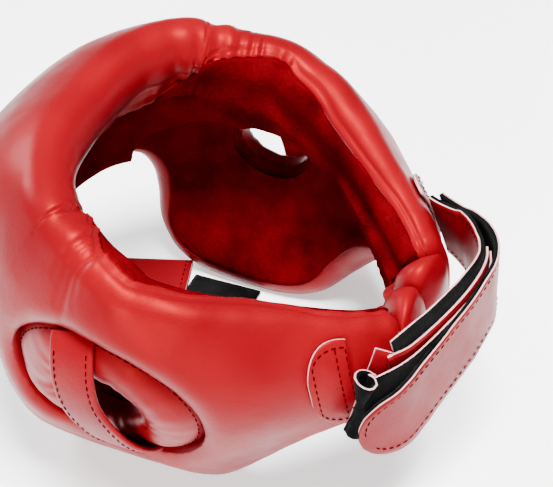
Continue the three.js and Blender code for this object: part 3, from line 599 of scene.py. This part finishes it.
# %% [markdown]
# ## Bands
# A strap is a flat band that follows a smooth path. Where it is sewn on it leans with the wall, and then it
# stands upright. Each layer is a grid in the band's plane: leather on one side, hook or loop pile on the
# other. Solidify gives each layer its thickness, and its rim slot shows the pale cut edge of the leather.


# %% Band helpers
UP = np.array([0.0, 0.0, 1.0])


def smooth_path(points, count):
    """A centripetal curve through points, evenly spaced."""
    p = np.array([2 * points[0] - points[1], *points, 2 * points[-1] - points[-2]])
    drawn = []
    for i in range(1, len(p) - 2):
        knots = np.concatenate([[0], np.cumsum(np.linalg.norm(np.diff(p[i - 1:i + 3], axis=0), axis=1) ** 0.5)])
        t = np.linspace(knots[1], knots[2], 16, endpoint=False)[:, None]
        a = [(knots[k + 1] - t) / (knots[k + 1] - knots[k]) * p[i - 1 + k]
             + (t - knots[k]) / (knots[k + 1] - knots[k]) * p[i + k] for k in range(3)]
        b = [(knots[k + 2] - t) / (knots[k + 2] - knots[k]) * a[k]
             + (t - knots[k]) / (knots[k + 2] - knots[k]) * a[k + 1] for k in range(2)]
        drawn.append((knots[2] - t) / (knots[2] - knots[1]) * b[0] + (t - knots[1]) / (knots[2] - knots[1]) * b[1])
    return even(np.concatenate([*drawn, p[-2:-1]]), count)


def band(points, lean, width, round_end=0.0, count=120, lean_share=0.3):
    """Stations of a band: places, upward and face directions, half widths and the band's length."""
    at, length = smooth_path(points, count)
    ahead = unit(np.gradient(at, axis=0))
    upright = smoothstep(np.linspace(0, 1, count), 0, lean_share)[:, None]
    tall = lean * (1 - upright) + UP * upright
    tall = unit(tall - ahead * np.sum(tall * ahead, axis=1, keepdims=True))
    left = length * (1 - np.linspace(0, 1, count))
    past = np.clip(round_end - left, 0, None) / max(round_end, 1e-6)
    half = width / 2 * np.sqrt(np.clip(1 - past ** 2, 0.0004, 1))
    return {"at": at, "tall": tall, "face": np.cross(tall, ahead), "half": half, "length": length, "left": left}


def band_places(b, offset, rows=14, curl=0.0):
    across = np.linspace(-1, 1, rows)
    places = b["at"][:, None] + b["tall"][:, None] * (b["half"][:, None] * across)[..., None]
    return places + b["face"][:, None] * (offset + curl * across ** 2)[None, :, None]


def band_piece(name, b, layers, thickness, node, curl=0.0, wave=0.0, pile_edge=None):
    """layers: (offset, first material). The materials are leather, its edge, pile and pile's edge."""
    bm = bmesh.new()
    area = 0
    for offset, first in layers:
        places = band_places(b, offset, curl=curl)
        if wave:
            places = places + normals_of(places) * lumps(places, 17, wave, 21.0)[..., None]
        grid_onto(bm, places, first)
        area = sum(f.calc_area() for f in bm.faces) / len(layers)
    bmesh.ops.recalc_face_normals(bm, faces=bm.faces)
    piece = finish_piece(bm, name, [strap_leather, cut_edge, pile, pile_edge or pile])
    layer = piece.modifiers.new("thickness", "SOLIDIFY")
    layer.thickness = thickness * MM
    layer.offset = 0
    layer.material_offset_rim = 1
    layer.use_even_offset = True
    apply_modifiers(piece)
    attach(piece, "root")
    if node:
        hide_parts(node)
    print(name, "width", round(2 * float(b["half"].max())), "length", round(b["length"]), "mm")
    return piece, area


# %% [markdown]
# ## Stitches
# Stitches are the detail that shows most at arm's length. Each one is a short rounded bar of thread, laid
# along its seam every few millimetres, and a whole row is one piece.

# %% Stitch helper
STITCH, STITCH_STEP, THREAD = 2.5, 3.4, 0.32


def stitches(name, rows):
    """rows: arrays of points and outward directions."""
    bm = bmesh.new()
    count = 0
    for line, out in rows:
        steps = np.linalg.norm(np.diff(line, axis=0), axis=1)
        reach = np.concatenate([[0], np.cumsum(steps)])
        for s in np.arange(STITCH_STEP / 2, reach[-1], STITCH_STEP):
            a, b = (np.array([np.interp(q, reach, line[:, k]) for k in range(3)]) for q in (s - STITCH / 2, s + STITCH / 2))
            o = np.array([np.interp(s, reach, out[:, k]) for k in range(3)])
            x = unit(b - a)
            o = unit(o - x * (o @ x))
            turned = Matrix((Vector(x * STITCH / 2), Vector(np.cross(o, x) * THREAD), Vector(o * THREAD * 0.8))).transposed()
            place = Matrix.Translation(Vector((a + b) / 2) * MM) @ turned.to_4x4() @ Matrix.Diagonal((MM, MM, MM, 1))
            bmesh.ops.create_icosphere(bm, subdivisions=1, radius=1.0, matrix=place)
            count += 1
    bmesh.ops.recalc_face_normals(bm, faces=bm.faces)
    piece = finish_piece(bm, name, [thread])
    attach(piece, "root")
    print(name, count, "stitches")
    return piece


def band_stitches(b, offset, inset, start=0.0, end=1.0, sides=(-1, 1)):
    """Rows along a band's edges. A round end joins them."""
    radius = b["half"].max() - inset
    rows = []
    n = len(b["at"])
    keep = slice(int(n * start), max(int(n * end), 2))
    for side in sides:
        past = np.clip(b["half"].max() - b["left"], 0, None) if b["half"].min() < radius / 2 else np.zeros(n)
        half = np.sqrt(np.clip(radius ** 2 - past ** 2, 0, None))
        line = b["at"] + b["tall"] * (side * half)[:, None] + b["face"] * offset
        ok = past <= radius
        rows.append((line[ok][keep] if b["half"].min() > radius / 2 else line[ok], (b["face"] * np.sign(offset))[ok][keep] if b["half"].min() > radius / 2 else (b["face"] * np.sign(offset))[ok]))
    return rows


# %% [markdown]
# ## Ear rings
# A padded ring sits in each opening. It is a tube of leather over foam, sewn along its outer edge, with the
# suede drawn through its hole from inside. It is modelled as a closed grid: once round the ear, and once
# round the tube.


# %% Build the ear rings
def wall_across(y, z):
    """The wall's middle surface beside a point seen from the side."""
    turn, rise = 0.6, 0.5
    for _ in range(9):
        at = middle(wall_line(turn), rise)[0]
        by_turn = (middle(wall_line(turn + 0.01), rise)[0] - at) / 0.01
        by_rise = (middle(wall_line(turn), rise + 0.02)[0] - at) / 0.02
        det = by_turn[1] * by_rise[2] - by_rise[1] * by_turn[2]
        dy, dz = y - at[1], z - at[2]
        turn += float(np.clip((dy * by_rise[2] - dz * by_rise[1]) / det, -0.1, 0.1))
        rise += float(np.clip((dz * by_turn[1] - dy * by_turn[2]) / det, -0.2, 0.2))
    return abs(middle(wall_line(turn), rise)[0][0])


RING_ANGLES = np.linspace(0, 2 * math.pi, 121)
RING_SHARES = np.linspace(0, 1, 5)
RING_OUT, RING_IN = WALL / 2 - 3.0, WALL / 2 * INNER_SHARE + 0.6
ring_base = np.zeros((121, 5))
for i, angle in enumerate(RING_ANGLES[:-1]):
    for j, share in enumerate(RING_SHARES):
        ring_base[i, j] = wall_across(*on_oval(EAR_LENGTH / 2 - 0.6 - RING_ENDS * share, EAR_HEIGHT / 2 - 0.6 - RING_SIDES * share, angle))
ring_base[-1] = ring_base[0]


def ring_point(i, turn, side, proud=0.0):
    """A point of the padded ring, at angle number i and at an angle round the tube."""
    share = (1 - math.cos(turn)) / 2
    angle = RING_ANGLES[i]
    y, z = on_oval(EAR_LENGTH / 2 - 0.6 - RING_ENDS * share, EAR_HEIGHT / 2 - 0.6 - RING_SIDES * share, angle)
    bulge = math.copysign(abs(math.sin(turn)) ** 0.75, math.sin(turn))
    pucker = 0.5 * math.sin(17 * angle + 2 * math.sin(5 * angle)) * (share ** 3 + 0.4 * (1 - share) ** 4)
    soft = 0.8 * noise.noise(Vector((math.cos(angle) * 3, math.sin(angle) * 3, share * 2 + side)))
    lift = (RING_OUT - RING_IN) / 2 + (RING_OUT + RING_IN) / 2 * bulge + (pucker + soft) * abs(bulge) + proud
    return np.array([side * (np.interp(share, RING_SHARES, ring_base[i]) + lift), y, z])


def ear_ring(side, name, node):
    around = np.linspace(0, 2 * math.pi, 41)
    places = np.array([[ring_point(i, t, side) for t in around] for i in range(121)])
    bm = bmesh.new()
    grid_onto(bm, places)
    bmesh.ops.remove_doubles(bm, verts=bm.verts, dist=0.01 * MM)
    bmesh.ops.recalc_face_normals(bm, faces=bm.faces)
    middle_x = float(np.mean(ring_base)) * MM
    for face in bm.faces:
        centre = face.calc_center_median()
        face.material_index = 1 if abs(centre.x) < middle_x - 3.0 * MM else 0
    ring = subdivided(finish_piece(bm, name, [cover_leather, suede]))
    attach(ring, "root")
    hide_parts(node)
    line = np.array([ring_point(i, 0.62, side, 0.3) for i in range(121)])
    stitches(name + "_stitches", [(line, np.tile([side, 0, 0.1], (121, 1)))])


ear_ring(1, "ear_ring_near", "ear_ring_left")
ear_ring(-1, "ear_ring_far", "ear_ring_right")

# %% [markdown]
# A stitched strap crosses each ring. Its ends are tucked between the ring and the opening, and it bows off
# the ring in the middle. It has two layers of leather folded over a thin core, so it is crowned.

# %% Build the ear straps
EAR_STRAP = [(-0.075, 0.50, -1.9), (-0.06, 0.42, -0.4), (-0.05, 0.25, 0.7), (-0.03, 0.08, 1.1), (0.02, -0.08, 1.3),
             (0.07, -0.22, 1.2), (0.11, -0.34, 0.5), (0.135, -0.43, -1.0)]


def ear_strap(side, name, node):
    route = []
    for along, up, bow in EAR_STRAP:
        y, z = EAR_CENTRE[0] + along * EAR_LENGTH, EAR_CENTRE[1] + up * EAR_HEIGHT
        inside = (min(max(y, -60), 25), min(max(z, 45), 100))
        route.append(np.array([side * (wall_across(*inside) + RING_OUT + 2.0 + bow * 4.0), y, z]))
    b = band(route, UP, 20.0, count=70)
    wide = np.array([0.0, 1.0, 0.0])
    ahead = unit(np.gradient(b["at"], axis=0))
    b["tall"] = unit(wide - ahead * (ahead @ wide)[:, None])
    b["face"] = np.cross(b["tall"], ahead)
    out = side * float(np.sign(b["face"][35, 0]))
    b["face"] *= out
    piece, _ = band_piece(name, b, [(0.3, 0)], 2.4, node, curl=-0.9, wave=0.3)
    piece.data.materials[1] = strap_leather
    subdivided(piece)
    rows = band_stitches(b, 1.2, 2.6, 0.1, 0.92)
    stitches(name + "_stitches", rows)


ear_strap(1, "ear_strap_near", "ear_strap_left")
ear_strap(-1, "ear_strap_far", "ear_strap_right")

# %% [markdown]
# ## The gusset
# The two rear ends are joined by a soft gusset that folds when the closure is pulled tight. It has two
# pillows that meet at a deep fold. Each is lofted between the two end sections and drawn in at its ends.

# %% Build the gusset
GUSSET_ROWS = 90
ends = []
for turn in (-1, 1):
    ring, _ = even(np.concatenate([lined_side(turn, 0), covered_side(turn)]), GUSSET_ROWS)
    ends.append(ring)


def gusset(name, node, begin, stop, seed):
    rounds = 34
    places = np.zeros((rounds + 1, GUSSET_ROWS, 3))
    for i in range(rounds + 1):
        share = begin + (stop - begin) * i / rounds
        ring = ends[0] * (1 - share) + ends[1] * share
        centre = ring.mean(axis=0)
        swell = math.sin(math.pi * i / rounds) ** 0.45
        wrinkle = 0.02 * np.sin(np.linspace(0, 2 * math.pi, GUSSET_ROWS) * 9 + seed) * (1 - swell)
        scale = 0.58 + 0.46 * swell + wrinkle
        places[i] = centre + (ring - centre) * scale[:, None]
    places += normals_of(places) * lumps(places, 15, 0.8, seed)[..., None]
    places[:, -1] = places[:, 0]
    bm = bmesh.new()
    grid_onto(bm, places)
    bmesh.ops.remove_doubles(bm, verts=bm.verts, dist=0.05 * MM)
    bmesh.ops.holes_fill(bm, edges=[e for e in bm.edges if e.is_boundary], sides=0)
    bmesh.ops.recalc_face_normals(bm, faces=bm.faces)
    piece = finish_piece(bm, name, [cover_leather])
    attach(piece, "root")
    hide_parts(node)


gusset("gusset_far", "gusset_right", -0.03, 0.485, 2.0)
gusset("gusset_near", "gusset_left", 0.475, 1.03, 5.0)

# %% [markdown]
# ## The patches
# A D-shaped patch of strap leather carries each strap. It lies on the pad, with its round end forward. A
# row of stitches follows the round edge, and two rows cross it behind, where the strap is sewn on.

# %% Build the patches
PATCH_TURN, PATCH_RISE, PATCH_HEIGHT, PATCH_LENGTH, PATCH_LIFT = 0.893, 0.48, 46.0, 19.0, 1.5
LEATHER = 1.3


def outer_surface(turn, rise, away):
    line = wall_line(turn)
    point, out, edge = (a[0] for a in wall_frame(turn, rise, line))
    return point + out * (line["half"] + away), out, edge


def patch(side, name, node):
    here = outer_surface(side * PATCH_TURN, PATCH_RISE, 0)[0]
    per_turn = np.linalg.norm(outer_surface(side * (PATCH_TURN + 0.01), PATCH_RISE, 0)[0] - here) / 0.01
    per_rise = np.linalg.norm(outer_surface(side * PATCH_TURN, PATCH_RISE + 0.02, 0)[0] - here) / 0.02

    def at(share, across, away):
        curve = math.sqrt(max(1 - (1 - min(share + 0.02, 1)) ** 2, 0.0))
        rise = min(max(PATCH_RISE + PATCH_HEIGHT / 2 * curve / per_rise * across, 0.0), 1.0)
        return outer_surface(side * (PATCH_TURN + (share - 0.5) * PATCH_LENGTH / per_turn), rise, away)

    shares = np.linspace(0, 1, 34) ** 1.6
    places = np.array([[at(s, a, PATCH_LIFT)[0] for a in np.linspace(-1, 1, 28)] for s in shares])
    bm = bmesh.new()
    grid_onto(bm, places)
    bmesh.ops.recalc_face_normals(bm, faces=bm.faces)
    piece = finish_piece(bm, name, [cover_leather, cut_edge])
    layer = piece.modifiers.new("thickness", "SOLIDIFY")
    layer.thickness = LEATHER * MM
    layer.offset = 0
    layer.material_offset_rim = 1
    apply_modifiers(piece)
    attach(piece, "root")
    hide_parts(node)
    arc = [(s, 0.84) for s in np.linspace(0.96, 0.16, 24)] + [(s, -0.84) for s in np.linspace(0.16, 0.96, 24)]
    arc = arc[:24] + [(0.155, a) for a in np.linspace(0.6, -0.6, 8)] + arc[24:]
    rows = [[at(s, a, PATCH_LIFT + 0.9) for s, a in arc]]
    rows += [[at(s, a, PATCH_LIFT + 0.9) for a in np.linspace(0.84, -0.84, 24)] for s in (0.72, 0.95)]
    stitches(name + "_stitches", [(np.array([r[0] for r in row]), np.array([r[1] for r in row])) for row in rows])


patch(1, "patch_near", "near_patch")
patch(-1, "patch_far", "far_patch")

# %% [markdown]
# ## The closure
# Behind the head the straps lie in a stack. From the inside out it holds the inner far strap with loop pile
# outside, the near strap with its own loop layer, and the outer far strap with hook pile inside. The outer
# strap has the rounded free end. All of them follow one route, each at its own distance.

# %% Build the closure straps
# across, along, and the middle's height for the inner, near and outer strap, as shares of the strap's width
CLOSURE_ROUTE = np.array([
    [-0.77, 0.68, 0.11, 0.28, 0.14], [-0.70, 0.77, 0.14, 0.28, 0.17], [-0.60, 0.85, 0.17, 0.28, 0.19],
    [-0.50, 0.93, 0.24, 0.28, 0.24], [-0.38, 1.02, 0.32, 0.29, 0.32], [-0.20, 1.11, 0.39, 0.28, 0.38],
    [0.00, 1.10, 0.41, 0.25, 0.29], [0.20, 1.04, 0.36, 0.17, 0.08], [0.36, 0.97, 0.30, 0.10, -0.10],
    [0.49, 0.90, 0.22, 0.09, -0.26], [0.59, 0.82, 0.17, 0.10, -0.43], [0.67, 0.74, 0.17, 0.31, -0.58]])
STRAP_WIDTH = 36.0
FAR_JOIN, STACK_FROM, INNER_END, NEAR_JOIN, OUTER_END, LOOP_END = 0.30, 0.43, 0.77, 0.82, 0.94, 0.93
NEAR_OUT, LOOP_OUT, OUTER_OUT, OUTER_START = 2.35, 4.05, 6.3, 4.4
STRAP_RISE, STRAP_CLEAR = 0.47, 2.5


def closure(share, outwards, column):
    def flat(s):
        row = through(CLOSURE_ROUTE, s)
        return np.array([row[0] * HALF_WIDTH + CLOSURE_SHIFT, row[1] * REAR_REACH + WALL / 2 - FOOT_BACK, 0.0])
    away = np.cross(UP, unit(flat(min(share + 0.02, 1)) - flat(max(share - 0.02, 0))))
    return flat(share) + away * outwards + UP * (EAR_AXIS + STRAP_WIDTH * through(CLOSURE_ROUTE, share)[column])


def closure_path(begin, stop, outwards, column):
    return [closure(s, outwards(s), column) for s in np.linspace(begin, stop, 15)]


def splay(share):
    return 1.3 * float(smoothstep(share, 0.62, NEAR_JOIN))


def patch_edge(side, away):
    here = outer_surface(side * PATCH_TURN, PATCH_RISE, 0)[0]
    per_turn = np.linalg.norm(outer_surface(side * (PATCH_TURN + 0.01), PATCH_RISE, 0)[0] - here) / 0.01
    point, _, edge = outer_surface(side * (PATCH_TURN + (PATCH_LENGTH / 2 + STRAP_CLEAR) / per_turn), STRAP_RISE, away)
    return point, edge


EDGE_INSET = 3.2
TAPE_WIDTH = 30.0
point, lean = patch_edge(-1, 2.4)
inner_band = band([point, *closure_path(FAR_JOIN, INNER_END, lambda s: 0.0, 2)], lean, STRAP_WIDTH)
band_piece("strap_far_inner", inner_band, [(-0.8, 0)], 0.7, "far_strap_inner", wave=0.4)
band_piece("strap_far_inner_loop_tape", inner_band, [(0.36, 2)], 1.5, None, wave=0.4)
stitches("strap_far_inner_stitches", band_stitches(inner_band, -1.25, EDGE_INSET))

point, lean = patch_edge(-1, 6.8)
outer_band = band([point, *closure_path(FAR_JOIN, OUTER_END,
                                        lambda s: OUTER_START + (OUTER_OUT - OUTER_START) * float(smoothstep(s, FAR_JOIN, 0.39)) + 2 * splay(s), 4)],
                  lean, STRAP_WIDTH, round_end=STRAP_WIDTH / 2, count=160)
band_piece("strap_far_outer", outer_band, [(0.8, 0)], 0.7, "far_strap_outer", wave=0.4)
band_piece("strap_far_outer_hook_tape", outer_band, [(-0.36, 2)], 1.5, None, wave=0.4)
stitches("strap_far_outer_stitches", band_stitches(outer_band, 1.25, EDGE_INSET))

point, lean = patch_edge(1, 3.5)
near_band = band([point, *closure_path(NEAR_JOIN, STACK_FROM, lambda s: NEAR_OUT, 3)], lean, STRAP_WIDTH)
near_strap, near_area = band_piece("strap_near", near_band, [(0.0, 0)], 0.9, "near_strap", wave=0.3)

CURL = [(0.922, 0.0), (0.932, 0.2), (0.938, 1.6), (0.931, 3.2)]
curl = [closure(s, LOOP_OUT + out, 3) for s, out in CURL]
loop_band = band([*curl, *closure_path(0.905, STACK_FROM, lambda s: LOOP_OUT + splay(s), 3)], UP, TAPE_WIDTH, count=320, lean_share=0.05)
loop_layer, loop_area = band_piece("strap_near_loop", loop_band, [(0.0, 2)], 0.75, "near_strap_loop", pile_edge=cut_edge)

# %% [markdown]
# ## The chin strap
# The chin strap's two parts lie on the ground under the headgear and over each other. The lower one shows
# its loop pile and the upper one its leather.

# %% Build the chin straps
CHIN_WIDTH = 38.0
HEM_INSIDE = HALF_WIDTH * 0.68 - WALL / 2


def chin_strap(name, begin, stop, height, layers):
    route = [np.array([*(np.array(begin) * (1 - s) + np.array(stop) * s), height + 0.25 * math.sin(7 * s)]) for s in np.linspace(0, 1, 6)]
    b = band(route, UP, CHIN_WIDTH, count=80)
    ahead = unit(np.gradient(b["at"], axis=0))
    b["tall"] = unit(np.cross(UP, ahead))
    b["face"] = np.tile(UP, (len(ahead), 1))
    for suffix, offset, first, ply_node, ply_slot in layers:
        band_piece(name + suffix, b, [(offset, first)], 1.15, ply_node)
    return b


chin_strap("chin_strap_far", (-HEM_INSIDE, -26 - FOOT_BACK), (HALF_WIDTH * 0.42, -26 - FOOT_BACK), 1.45,
           [("_loop_tape", 0.62, 2, "chin_strap_right", "loop_tape"), ("_leather", -0.62, 0, None, "cover")])
chin_high = chin_strap("chin_strap_near", (HEM_INSIDE, -40 - FOOT_BACK), (-HALF_WIDTH * 0.56, -68 - FOOT_BACK), 4.1,
                       [("_leather", 0.62, 0, "chin_strap_left", "cover"), ("_hook_tape", -0.62, 2, None, "loop_tape")])
stitches("chin_strap_near_stitches", band_stitches(chin_high, 1.3, EDGE_INSET))

# %% [markdown]
# ## Lights and floor
# The photo has soft light from all round and a white ground. One large light above, a weaker one from the
# front and a pale world give the broad highlights on the rolls.


# %% Lights
def area_light(name, at, aim, size, power):
    data = bpy.data.lights.new(name, "AREA")
    data.shape = "DISK"
    data.size = size
    data.energy = power
    lamp = bpy.data.objects.new(name, data)
    lamp.matrix_world = Matrix.Translation(at) @ (Vector(at) - Vector(aim)).to_track_quat("Z", "Y").to_matrix().to_4x4()
    bpy.context.collection.objects.link(lamp)


area_light("top", (0.05, 0.25, 1.3), (0, 0, 0.08), 0.5, 92)
area_light("front", (-0.2, -1.1, 0.9), (0, 0, 0.08), 0.6, 20)
area_light("left", (1.35, 0.2, 0.55), (0, 0, 0.06), 0.6, 34)
world = bpy.data.worlds.new("studio")
bpy.context.scene.world = world
world.use_nodes = True
world.node_tree.nodes["Background"].inputs[0].default_value = (1, 1, 1, 1)
world.node_tree.nodes["Background"].inputs[1].default_value = 0.16

material, tree, shader, place = start("matt_white_paper")
shader.inputs["Base Color"].default_value = linear("FAFAFA")
shader.inputs["Roughness"].default_value = 0.9
shader.inputs["Emission Color"].default_value = linear("FFFFFF")
shader.inputs["Emission Strength"].default_value = 0.7
bm = bmesh.new()
bmesh.ops.create_grid(bm, x_segments=1, y_segments=1, size=15.0)
floor = finish_piece(bm, "floor", [material])
print("lights and floor placed")
